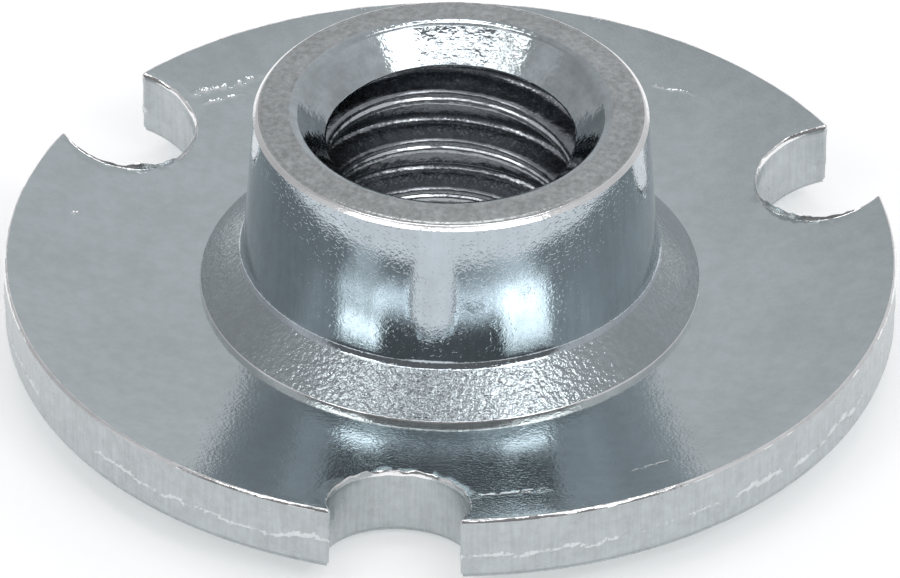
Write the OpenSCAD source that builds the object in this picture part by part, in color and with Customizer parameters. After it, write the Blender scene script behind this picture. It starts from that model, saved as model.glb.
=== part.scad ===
// Tee nut with three rim notches: one piece of plated sheet steel, drawn up into
// a short threaded barrel and blanked to a round, slightly dished flange.
// It stands on its flat underside, with the barrel upwards.
// Origin: centre of the underside. +Z runs up the barrel, and the first notch
// faces -Y. All sizes are in millimetres.

/* [Flange] */
// Outside diameter of the flange
flange_d = 19.05; // [17:0.05:22]
// Thickness of the sheet
sheet_t = 1.5; // [1.2:0.05:1.9]
// Height by which the rim stands above the middle of the flange
dish_rise = 0.62; // [0.2:0.02:0.9]
// Radius of the drawn-in upper edge of the rim
rim_edge_r = 0.08; // [0.04:0.01:0.2]

/* [Notches] */
// Number of notches round the rim
notch_count = 3; // [2:1:5]
// Diameter of the punch that cuts each notch
notch_d = 2.94; // [2.4:0.02:3.4]
// How far each notch reaches in from the rim
notch_depth = 2.25; // [1.4:0.01:2.6]

/* [Barrel] */
// Height from the underside to the top of the barrel
total_h = 5.94; // [5:0.02:9]
// Outside diameter of the barrel at its upper end
barrel_d = 8.4; // [8:0.01:9]
// Growth of the barrel's radius from its upper end to its foot
barrel_flare = 0.22; // [0.1:0.02:0.5]
// Radius of the barrel's upper outer edge
barrel_edge_r = 0.2; // [0.1:0.01:0.35]
// Angle at which the barrel's face falls towards its outer edge
face_fall = 5; // [1:0.5:10]

/* [Shoulder] */
// Width of the sloping shoulder round the barrel's foot
shoulder_w = 0.92; // [0.7:0.02:1.2]
// Height of the shoulder above the flange, at the barrel
shoulder_h = 0.95; // [0.6:0.02:1.2]
// Height of the small step at the shoulder's outer edge
shoulder_step = 0.1; // [0.04:0.01:0.2]
// Radius of the inside corner between barrel and shoulder
foot_r = 0.3; // [0.15:0.05:0.4]

/* [Bore] */
// Diameter of the bore, at the crests of the thread
bore_d = 5.2; // [4.6:0.05:5.6]
// Diameter of the countersink at the barrel's face
sink_d = 6.7; // [6:0.02:7.2]
// Full angle of the countersink
sink_angle = 84; // [60:1:100]
// Radius of the countersink's upper edge
sink_edge_r = 0.18; // [0.05:0.01:0.3]
// Width of the chamfer at the bore's lower end
lead_in = 0.35; // [0.2:0.05:0.5]

/* [Thread] */
// Distance from one turn of the thread to the next
pitch = 1.27; // [1.2:0.01:1.3]
// Diameter at the thread's roots
root_d = 6.35; // [6.2:0.01:6.4]
// Height over which the thread runs out at either end
run_out = 0.3; // [0.2:0.02:0.4]

/* [Hidden] */
$fn = 144;
eps = 0.01;
first_notch_turn = -90;
thread_angle = 60;
steps_per_turn = 24;
// Height of the thread's first crest above the underside, over the +X axis
first_crest_z = 0.225;

flange_r = flange_d / 2;
barrel_r = barrel_d / 2;
foot_z = sheet_t + shoulder_h;
foot_outer_r = barrel_r + barrel_flare;
shoulder_r = foot_outer_r + shoulder_w;

// The dish is an arc that leaves the flat middle at the shoulder's edge
dish_run = flange_r - shoulder_r;
dish_r = (dish_run * dish_run + dish_rise * dish_rise) / (2 * dish_rise);
dish_angle = asin(dish_run / dish_r);
edge_angle = asin((dish_run - rim_edge_r) / (dish_r + rim_edge_r));
dish_steps = 12;
edge_steps = 4;
rim_top_z = sheet_t + dish_rise;

bore_r = bore_d / 2;
sink_r = sink_d / 2;
sink_half = sink_angle / 2;
// The cone is drawn a little past the bore, which then cuts it
sink_end_r = bore_r - 0.4;
sink_end_z = total_h - (sink_r - sink_end_r) / tan(sink_half);
// Middle of the rounding between the barrel's face and the countersink
mouth_centre = [sink_r, total_h] - sink_edge_r / (1 + sin(sink_half - face_fall))
    * [sin(face_fall) - cos(sink_half), cos(face_fall) + sin(sink_half)];
notch_r = notch_d / 2;
notch_circle_r = flange_r - notch_depth + notch_r;

// The thread's groove, which is drawn a little past the crests towards the axis
root_r = root_d / 2;
root_half = pitch / 20;
groove_inner_r = bore_r - 0.1;
inner_half = root_half + (root_r - groove_inner_r) * tan(thread_angle / 2);
groove_profile = [
    [groove_inner_r, -inner_half],
    [root_r, -root_half],
    [root_r, root_half],
    [groove_inner_r, inner_half]
];
// It ends where the countersink and the chamfer are a little wider than the bore
thread_end_r = bore_r + 0.08;
thread_top_z = total_h - (sink_r - thread_end_r) / tan(sink_half);
thread_bottom_z = bore_r + lead_in - thread_end_r;
run_out_slope = (root_r - thread_end_r) / run_out;

// Middle of the barrel's upper edge, which touches both its side and its face
lean = atan2(barrel_flare, total_h - foot_z);
edge_z = (total_h - barrel_edge_r * cos(face_fall) - tan(face_fall)
    * (barrel_r + total_h * tan(lean) - barrel_edge_r / cos(lean) + barrel_edge_r * sin(face_fall) - sink_r))
    / (1 - tan(face_fall) * tan(lean));
edge_middle = [barrel_r + (total_h - edge_z) * tan(lean) - barrel_edge_r / cos(lean), edge_z];

// Directions of the two lines that meet at the barrel's foot
wall_angle = atan2(total_h - foot_z, -barrel_flare);
slope_angle = atan2(shoulder_step - shoulder_h, shoulder_w);
foot_half_angle = (wall_angle - slope_angle) / 2;
foot_reach = foot_r / tan(foot_half_angle);

// Points along an arc round the point c, in equal steps
function arc(c, r, from, to, steps) = [
    for (i = [0 : steps])
        let (a = from + (to - from) * i / steps)
        c + r * [cos(a), sin(a)]
];

// Points of the groove's profile at an angle from the +X axis, on the helix
function groove_ring(turn) = [
    for (p = groove_profile)
        [p[0] * cos(turn), p[0] * sin(turn), first_crest_z + pitch * (turn / 360 - 0.5) + p[1]]
];

// Half section of the dished flange: a plate between two equal arcs, with its
// upper rim edge drawn in round
module flange_section() {
    under_centre = [shoulder_r, dish_r];
    top_centre = under_centre + [0, sheet_t];
    edge_centre = top_centre + (dish_r + rim_edge_r) * [sin(edge_angle), -cos(edge_angle)];
    polygon(concat(
        [[0, 0]],
        arc(under_centre, dish_r, -90, dish_angle - 90, dish_steps),
        arc(edge_centre, rim_edge_r, 0, 90 + edge_angle, edge_steps),
        arc(top_centre, dish_r, edge_angle - 90, -90, dish_steps),
        [[0, sheet_t]]
    ));
}

// Half section of the barrel: slightly flared, with a rounded upper edge, a face
// that falls a little outwards and the countersink with its rounded edge
module barrel_section() {
    polygon(concat(
        [
            [sink_end_r, 0],
            [foot_outer_r, 0],
            [foot_outer_r, foot_z]
        ],
        arc(edge_middle, barrel_edge_r, lean, 90 - face_fall, edge_steps * 2),
        arc(mouth_centre, sink_edge_r, 90 - face_fall, 180 - sink_half, edge_steps * 2),
        [[sink_end_r, sink_end_z]]
    ));
}

// Half section of the shoulder, with its inside corner to the barrel filled round
module shoulder_section() {
    polygon([
        [0, 0],
        [shoulder_r, 0],
        [shoulder_r, sheet_t + shoulder_step],
        [foot_outer_r, foot_z],
        [0, foot_z]
    ]);
    difference() {
        polygon([
            [foot_outer_r, foot_z],
            [foot_outer_r + foot_reach * cos(slope_angle), foot_z + foot_reach * sin(slope_angle)],
            [foot_outer_r + foot_reach * cos(wall_angle), foot_z + foot_reach * sin(wall_angle)]
        ]);
        translate([foot_outer_r, foot_z])
            rotate(slope_angle + foot_half_angle)
                translate([foot_r / sin(foot_half_angle), 0])
                    circle(r = foot_r);
    }
}

// Bore, as wide as the crests of its thread, with a small chamfer below
module bore() {
    translate([0, 0, -eps])
        cylinder(h = total_h + 2 * eps, r = bore_r);
    cylinder(h = lead_in, r1 = bore_r + lead_in, r2 = bore_r);
}

// Right-hand groove of the thread, swept along its helix from below the part to
// above it, in equal steps of the turn
module helix() {
    sides = len(groove_profile);
    first_step = -steps_per_turn;
    last_step = ceil((total_h / pitch + 1) * steps_per_turn);
    rings = [for (i = [first_step : last_step]) groove_ring(i * 360 / steps_per_turn)];
    last = (len(rings) - 1) * sides;
    polyhedron(
        points = [for (ring = rings) each ring],
        faces = concat(
            [[for (j = [sides - 1 : -1 : 0]) j]],
            [
                for (at = [0 : sides : last - 1])
                for (j = [0 : sides - 1])
                    let (k = (j + 1) % sides)
                    each [[at + j, at + k, at + k + sides], [at + j, at + k + sides, at + j + sides]]
            ],
            [[for (j = [0 : sides - 1]) last + j]]
        )
    );
}

// Cuts the thread between its run-outs
module thread_groove() {
    inner_r = groove_inner_r - 0.2;
    outer_r = root_r + 0.05;
    inner_rise = (thread_end_r - inner_r) / run_out_slope;
    outer_fall = (outer_r - thread_end_r) / run_out_slope;
    intersection() {
        helix();
        rotate_extrude()
            polygon([
                [inner_r, thread_bottom_z - inner_rise],
                [outer_r, thread_bottom_z + outer_fall],
                [outer_r, thread_top_z - outer_fall],
                [inner_r, thread_top_z + inner_rise]
            ]);
    }
}

// Round notches, open at the rim
module notches() {
    for (i = [0 : notch_count - 1])
        rotate(first_notch_turn + i * 360 / notch_count)
            translate([notch_circle_r, 0, -eps])
                cylinder(h = rim_top_z + 2 * eps, r = notch_r);
}

module tee_nut() {
    color([0.66, 0.69, 0.71])
        difference() {
            rotate_extrude() {
                flange_section();
                shoulder_section();
                barrel_section();
            }
            bore();
            thread_groove();
            notches();
        }
}

tee_nut();
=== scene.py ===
"""Looks of a tee nut: bright zinc on a dished, notched flange and a short threaded barrel."""
import functools
import logging
import math
from dataclasses import dataclass, field
from enum import Enum, IntEnum
from typing import Self

import bmesh
import bpy
from mathutils import Matrix, Vector
from mathutils.geometry import delaunay_2d_cdt


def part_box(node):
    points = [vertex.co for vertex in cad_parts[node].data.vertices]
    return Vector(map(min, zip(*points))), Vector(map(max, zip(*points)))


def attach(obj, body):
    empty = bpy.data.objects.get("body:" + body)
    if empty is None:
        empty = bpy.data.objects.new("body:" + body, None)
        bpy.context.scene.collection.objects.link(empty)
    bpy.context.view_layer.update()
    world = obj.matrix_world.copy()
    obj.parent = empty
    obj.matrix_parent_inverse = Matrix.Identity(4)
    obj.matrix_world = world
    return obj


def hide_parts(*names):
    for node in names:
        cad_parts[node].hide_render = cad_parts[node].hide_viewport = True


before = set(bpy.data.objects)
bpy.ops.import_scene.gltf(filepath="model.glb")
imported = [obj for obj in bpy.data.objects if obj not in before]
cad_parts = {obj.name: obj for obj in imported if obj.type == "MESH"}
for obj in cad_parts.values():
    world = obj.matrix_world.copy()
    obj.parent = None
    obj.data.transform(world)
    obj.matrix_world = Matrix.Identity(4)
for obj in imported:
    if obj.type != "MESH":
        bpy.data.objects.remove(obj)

NODE = "tee_nut"
BODY = "root"
MM = 0.001
PER_MM = 1.0 / MM
FULL_TURN = 2.0 * math.pi
# A noise pattern swings round this value
NOISE_MIDDLE = 0.5
# Marks that the points of the flange carry, for the form tree; the third is a painted shade along the
# upper edge
MARKS = ("cut_height", "burr", "grime", "at_rim")

Point2 = tuple[float, float]
Point3 = tuple[float, float, float]
Colour = tuple[float, float, float]
Socket = bpy.types.NodeSocket
Plug = Socket | float | int | tuple | str | bool
Plugs = dict[str | int, Plug]
Setting = bpy.types.Object | float | int

log = logging.getLogger("tee_nut_scene")


class Region(IntEnum):
    """Surfaces of the nut that each have a finish of their own."""

    SHEET = 0
    SHEARED = 1
    SHOULDER = 2
    WALL = 3
    LIP = 4
    COUNTERSINK = 5
    THREAD = 6
    # Edges with a painted highlight: a near-white tone
    RUBBED = 7


class Lay(Enum):
    """Ways in which fine tool marks run."""

    NONE = "none"
    ROUND = "round the axis"
    UPRIGHT = "along the axis"


def arc_points(centre: Point2, radius: float, start: float, end: float, steps: int) -> list[Point2]:
    """Places points in equal steps along an arc, from one angle to the other, in radians."""
    angles = [start + (end - start) * i / steps for i in range(steps + 1)]
    return [(centre[0] + radius * math.cos(a), centre[1] + radius * math.sin(a)) for a in angles]


def line_points(start: Point2, end: Point2, steps: int) -> list[Point2]:
    """Places points in equal steps along a straight line, both ends included."""
    shares = [i / steps for i in range(steps + 1)]
    return [(start[0] + (end[0] - start[0]) * s, start[1] + (end[1] - start[1]) * s) for s in shares]


def direction(azimuth: float, elevation: float) -> Vector:
    """Gives the direction to a viewer, turned anticlockwise from the front; angles in degrees."""
    turn, rise = math.radians(azimuth), math.radians(elevation)
    return Vector((math.sin(turn) * math.cos(rise), -math.cos(turn) * math.cos(rise), math.sin(rise)))


def place_in_scene(name: str, data: bpy.types.ID) -> bpy.types.Object:
    """Makes an object and links it to the scene.

    Args:
        name: The object's name.
        data: Its mesh, lamp or camera.

    Returns:
        The object.
    """
    placed = bpy.data.objects.new(name, data)
    bpy.context.scene.collection.objects.link(placed)
    return placed


def store(mesh: bpy.types.Mesh, name: str, values: list[float], kind: str = "FLOAT",
          domain: str = "POINT") -> None:
    """Stores a named attribute on a mesh."""
    mesh.attributes.new(name, kind, domain).data.foreach_set("value", values)


@dataclass(frozen=True)
class Pattern:
    """A noise pattern: features for each unit of length, finer layers and their weight."""

    scale: float
    detail: float = 2.0
    roughness: float = 0.5


class TreeWriter:
    """Adds and links nodes in one tree, so that a formula reads as a few calls."""

    def __init__(self, tree: bpy.types.NodeTree) -> None:
        """Takes the shader or Geometry Nodes tree to write into."""
        self.tree = tree

    @classmethod
    def for_new(cls, owner: bpy.types.Material | bpy.types.World) -> Self:
        """Empties the tree of a new material or world.

        Args:
            owner: The material or the world.

        Returns:
            A writer for the tree.
        """
        owner.use_nodes = True
        owner.node_tree.nodes.clear()
        return cls(owner.node_tree)

    def plug(self, socket: Socket, value: Plug) -> None:
        """Links a socket to another one, or sets its own value.

        Args:
            socket: Input socket of a node.
            value: Output socket to link, or a plain value. A colour is made opaque.
        """
        if isinstance(value, Socket):
            self.tree.links.new(value, socket)
        else:
            socket.default_value = (*value, 1.0) if socket.type == "RGBA" else value

    def add(self, kind: str, plugs: Plugs | None = None, **settings: object) -> bpy.types.Node:
        """Adds a node.

        Args:
            kind: Blender's name for the type of node.
            plugs: What goes into each input, by the input's name or place.
            **settings: Properties of the node.

        Returns:
            The new node.
        """
        node = self.tree.nodes.new(kind)
        for name, value in settings.items():
            setattr(node, name, value)
        for key, value in (plugs or {}).items():
            self.plug(node.inputs[key], value)
        return node

    def result(self, kind: str, plugs: Plugs | None = None, **settings: object) -> Socket:
        """Adds a node, as add() does, and gives its first output."""
        return self.add(kind, plugs, **settings).outputs[0]

    def calc(self, operation: str, *terms: Plug) -> Socket:
        """Adds a math node, by Blender's name for the operation, and gives its result."""
        return self.result("ShaderNodeMath", dict(enumerate(terms)), operation=operation)

    def times(self, *factors: Plug) -> Socket:
        """Multiplies two or more terms, from the left."""
        return functools.reduce(lambda one, other: self.calc("MULTIPLY", one, other), factors)

    def plus(self, *terms: Plug) -> Socket:
        """Adds two or more terms up, from the left."""
        return functools.reduce(lambda one, other: self.calc("ADD", one, other), terms)

    def minus(self, value: Plug, less: Plug) -> Socket:
        """Subtracts one term from another."""
        return self.calc("SUBTRACT", value, less)

    def fit(self, value: Plug, source: tuple[Plug, Plug], target: tuple[Plug, Plug] = (0.0, 1.0),
            smooth: bool = False) -> Socket:
        """Maps a value from one range to another, and stops at the ends.

        Args:
            value: What is mapped.
            source: The range it comes from.
            target: The range it goes to.
            smooth: Whether the ends are eased.

        Returns:
            The mapped value's socket.
        """
        plugs = {"Value": value, "From Min": source[0], "From Max": source[1],
                 "To Min": target[0], "To Max": target[1]}
        kind = "SMOOTHSTEP" if smooth else "LINEAR"
        return self.add("ShaderNodeMapRange", plugs, interpolation_type=kind).outputs["Result"]

    def noise(self, place: Plug, pattern: Pattern) -> Socket:
        """Adds a noise pattern at a place, and gives its value from 0 to 1."""
        return self.result("ShaderNodeTexNoise", {
            "Vector": place,
            "Scale": pattern.scale,
            "Detail": pattern.detail,
            "Roughness": pattern.roughness,
        })

    def vector(self, x: Plug = 0.0, y: Plug = 0.0, z: Plug = 0.0) -> Socket:
        """Joins three values in a vector."""
        return self.result("ShaderNodeCombineXYZ", {"X": x, "Y": y, "Z": z})

    def parts(self, vector: Plug) -> bpy.types.bpy_prop_collection:
        """Splits a vector into its X, Y and Z."""
        return self.add("ShaderNodeSeparateXYZ", {0: vector}).outputs

    def mixed(self, share: Plug, low: Plug, high: Plug) -> Socket:
        """Blends two colours.

        Args:
            share: Share of the second colour.
            low: First colour.
            high: Second colour.

        Returns:
            The blend.
        """
        blend = self.add("ShaderNodeMix", {"Factor": share}, data_type="RGBA")
        ends = [socket for socket in blend.inputs if socket.type == "RGBA"]
        self.plug(ends[0], low)
        self.plug(ends[1], high)
        return next(socket for socket in blend.outputs if socket.type == "RGBA")

    def bump(self, height: Plug, depth: float, under: Socket | None = None) -> Socket:
        """Lays a relief on the surface, or on another relief.

        Args:
            height: The relief's pattern.
            depth: How far a pattern of 1 stands out.
            under: Normal of the relief that it is laid on.

        Returns:
            The new normal.
        """
        plugs = {"Height": height, "Distance": depth, "Strength": 1.0}
        if under is not None:
            plugs["Normal"] = under
        return self.result("ShaderNodeBump", plugs)


class FinishWriter(TreeWriter):
    """Writes a finish's tree, in object coordinates and millimetres."""

    def __init__(self, tree: bpy.types.NodeTree) -> None:
        """Takes the tree and adds the place in the object."""
        super().__init__(tree)
        place = self.add("ShaderNodeTexCoord").outputs["Object"]
        self.place = self.result("ShaderNodeMapping", {"Vector": place, "Scale": (PER_MM, PER_MM, PER_MM)})

    def cloudy(self, size: float, detail: float = 2.0, roughness: float = 0.5) -> Socket:
        """Adds a noise pattern in the object, with features of a size."""
        return self.noise(self.place, Pattern(1.0 / size, detail, roughness))


@dataclass(frozen=True)
class StripSteps:
    """Number of steps in each strip of the half section."""

    step: int = 5
    shoulder: int = 14
    foot: int = 10
    wall: int = 28
    edge: int = 4
    lip: int = 24
    mouth: int = 3
    sink: int = 18
    chamfer: int = 5
    under: int = 10


@dataclass(frozen=True)
class Section:
    """Sizes of the nut's half section, apart from the notches.

    The outer sizes are the solid's. The flats, the small step in the barrel's face, the
    hollow and the wear belong to the finished nut, and stay inside the solid's box.
    """

    rim_radius: float
    height: float
    sheet: float = 1.5 * MM
    dish_rise: float = 0.62 * MM
    barrel_radius: float = 4.2 * MM
    barrel_flare: float = 0.22 * MM
    barrel_edge: float = 0.1 * MM
    face_fall: float = math.radians(5.0)
    face_step: float = 0.015 * MM
    face_step_radius: float = 4.03 * MM
    shoulder_width: float = 0.92 * MM
    shoulder_height: float = 0.95 * MM
    shoulder_step: float = 0.1 * MM
    step_edge: float = 0.07 * MM
    foot_corner: float = 0.3 * MM
    crest_radius: float = 2.6 * MM
    sink_radius: float = 3.35 * MM
    sink_half_angle: float = math.radians(43.4)
    sink_hollow: float = 0.005 * MM
    sink_edge: float = 0.18 * MM
    mouth_flat: float = 0.09 * MM
    face_wear: float = 0.005 * MM
    lead_in: float = 0.35 * MM
    thread_end_radius: float = 2.65 * MM
    # Run over which the small step in the barrel's face goes down
    face_step_run: float = 0.02 * MM
    steps: StripSteps = StripSteps()

    @property
    def full_height(self) -> float:
        """Height of the corner at which the barrel's face and the countersink would meet.

        Returns:
            The height that leaves the worn mouth a little under the solid's.
        """
        reach = 1.0 + math.sin(self.sink_half_angle - self.face_fall)
        return self.height - self.face_wear - self.sink_edge + self.sink_edge * (
            math.cos(self.face_fall) + math.sin(self.sink_half_angle)) / reach

    @property
    def mouth_ends(self) -> tuple[Point2, Point2]:
        """Ends of the flat between the barrel's face and the countersink.

        Returns:
            Its outer and its inner end.
        """
        fall, half = self.face_fall, self.sink_half_angle
        outer = (self.sink_radius + self.mouth_flat * math.cos(fall),
                 self.full_height - self.mouth_flat * math.sin(fall))
        inner = (self.sink_radius - self.mouth_flat * math.sin(half),
                 self.full_height - self.mouth_flat * math.cos(half))
        return outer, inner

    @property
    def wall_lean(self) -> float:
        """Angle by which the barrel's side leans from the upright."""
        return math.atan2(self.barrel_flare, self.full_height - self.foot_height)

    @property
    def edge_ends(self) -> tuple[Point2, Point2]:
        """Ends of the flat that blunts the barrel's upper edge.

        Returns:
            Its lower and its upper end.
        """
        fall, lean = self.face_fall, self.wall_lean
        both = math.tan(fall) * math.tan(lean)
        radius = (self.barrel_radius - self.sink_radius * both) / (1.0 - both)
        height = self.full_height - (radius - self.sink_radius) * math.tan(fall)
        lower = (radius + self.barrel_edge * math.sin(lean), height - self.barrel_edge * math.cos(lean))
        upper = (radius - self.barrel_edge * math.cos(fall), height + self.barrel_edge * math.sin(fall))
        return lower, upper

    @property
    def foot_radius(self) -> float:
        """Radius of the barrel's side at its foot."""
        return self.barrel_radius + self.barrel_flare

    @property
    def foot_height(self) -> float:
        """Height of the corner between barrel and shoulder."""
        return self.sheet + self.shoulder_height

    @property
    def shoulder_radius(self) -> float:
        """Radius at which the shoulder ends and the dish begins."""
        return self.foot_radius + self.shoulder_width

    @property
    def sink_slope(self) -> float:
        """How far the countersink narrows for each unit of its depth."""
        return math.tan(self.sink_half_angle)

    @property
    def thread_top(self) -> float:
        """Height at which the thread runs out into the countersink."""
        return self.full_height - (self.sink_radius - self.thread_end_radius) / self.sink_slope

    @property
    def thread_bottom(self) -> float:
        """Height at which the thread runs out into the lower chamfer."""
        return self.crest_radius + self.lead_in - self.thread_end_radius

    def dish(self, radius: float) -> float:
        """Gives how far the dish has risen at a radius.

        Args:
            radius: Distance from the axis.

        Returns:
            The rise above the flat middle.
        """
        run = self.rim_radius - self.shoulder_radius
        arc = (run * run + self.dish_rise * self.dish_rise) / (2.0 * self.dish_rise)
        out = max(0.0, radius - self.shoulder_radius)
        return arc - math.sqrt(arc * arc - out * out)

    def face_sunk(self, radius: float) -> float:
        """Gives how far the small step has lowered the barrel's face at a radius."""
        share = (radius - self.face_step_radius) / self.face_step_run
        return self.face_step * min(1.0, max(0.0, share))

    def foot_arc(self) -> list[Point2]:
        """Rounds the inside corner between shoulder and barrel.

        Returns:
            The arc's points, from the shoulder up to the barrel.
        """
        corner = Vector((self.foot_radius, self.foot_height))
        wall = math.pi / 2 + self.wall_lean
        slope = math.atan2(self.shoulder_step - self.shoulder_height, self.shoulder_width)
        half = (wall - slope) / 2.0
        middle = slope + half
        centre = corner + self.foot_corner / math.sin(half) * Vector((math.cos(middle), math.sin(middle)))
        return arc_points(tuple(centre), self.foot_corner, slope - math.pi / 2, wall - 1.5 * math.pi,
                          self.steps.foot)

    @staticmethod
    def hollowed(line: list[Point2], depth: float) -> list[Point2]:
        """Bends a straight line of points, so that its middle lies deeper in the metal.

        Args:
            line: Points in equal steps, which run down towards the axis.
            depth: How far the middle is moved.

        Returns:
            The moved points, with both ends where they were.
        """
        (r0, z0), (r1, z1) = line[0], line[-1]
        length = math.hypot(r1 - r0, z1 - z0)
        out, up = (z0 - z1) / length, (r1 - r0) / length
        bent = []
        for i, (r, z) in enumerate(line):
            share = i / (len(line) - 1)
            move = 4.0 * depth * share * (1.0 - share)
            bent.append((r + move * out, z + move * up))
        return bent

    def strips(self) -> list[tuple[Region, list[Point2]]]:
        """Draws the half section as strips, each with its finish.

        Returns:
            Pairs of a region and its (radius, height) points. They run from the dish's
            inner edge over the top and down to the bore's thread, then from the thread's
            lower end out along the underside.
        """
        steps = self.steps
        foot = self.foot_arc()
        slope = math.atan2(self.shoulder_height - self.shoulder_step, self.shoulder_width)
        middle = (self.shoulder_radius - self.step_edge, self.sheet + self.shoulder_step
                  + self.step_edge * (math.tan(slope) - 1.0 / math.cos(slope)))
        step = [(self.shoulder_radius, self.sheet)]
        step += arc_points(middle, self.step_edge, 0.0, math.pi / 2 - slope, steps.step)
        shoulder = line_points(step[-1], foot[0], steps.shoulder)
        edge = line_points(*self.edge_ends, steps.edge)
        wall = foot + line_points(foot[-1], edge[0], steps.wall)[1:]
        mouth = line_points(*self.mouth_ends, steps.mouth)
        lip = [(r, z - self.face_sunk(r)) for r, z in line_points(edge[-1], mouth[0], steps.lip)]
        edge[-1] = lip[0]
        sink_end = (self.thread_end_radius, self.thread_top)
        sink = self.hollowed(line_points(mouth[-1], sink_end, steps.sink), self.sink_hollow)
        chamfer_start = (self.thread_end_radius, self.thread_bottom)
        chamfer = line_points(chamfer_start, (self.crest_radius + self.lead_in, 0.0), steps.chamfer)
        under = line_points(chamfer[-1], (self.shoulder_radius, 0.0), steps.under)
        return [
            # The step's rounding and the barrel's edge flat take a painted highlight
            (Region.RUBBED, step),
            (Region.SHOULDER, shoulder),
            (Region.WALL, wall),
            (Region.RUBBED, edge),
            (Region.LIP, lip),
            (Region.COUNTERSINK, mouth),
            (Region.COUNTERSINK, sink),
            (Region.COUNTERSINK, chamfer),
            (Region.SHEET, under),
        ]


@dataclass
class Patch:
    """A mesh under way, with a region for each face and the marks of each point."""

    points: list[Point3] = field(default_factory=list)
    faces: list[tuple[int, ...]] = field(default_factory=list)
    regions: list[int] = field(default_factory=list)
    marks: dict[str, list[float]] = field(default_factory=lambda: {name: [] for name in MARKS})

    def point(self, place: Point2, height: float, **marks: float) -> None:
        """Adds a point.

        Args:
            place: Its place, seen from above.
            height: Its height.
            **marks: Its marks. Those that aren't given are 0.
        """
        self.points.append((*place, height))
        for name, values in self.marks.items():
            values.append(marks.get(name, 0.0))

    def face(self, corners: tuple[int, ...], region: Region) -> None:
        """Adds a face of one region."""
        self.faces.append(corners)
        self.regions.append(int(region))

    def mesh(self, name: str) -> bpy.types.Mesh:
        """Makes the mesh and stores its regions and marks on it.

        Args:
            name: The mesh's name.

        Returns:
            The mesh.
        """
        made = bpy.data.meshes.new(name)
        made.from_pydata(self.points, [], self.faces)
        store(made, "region", self.regions, "INT", "FACE")
        for mark, values in self.marks.items():
            store(made, mark, values)
        return made


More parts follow.
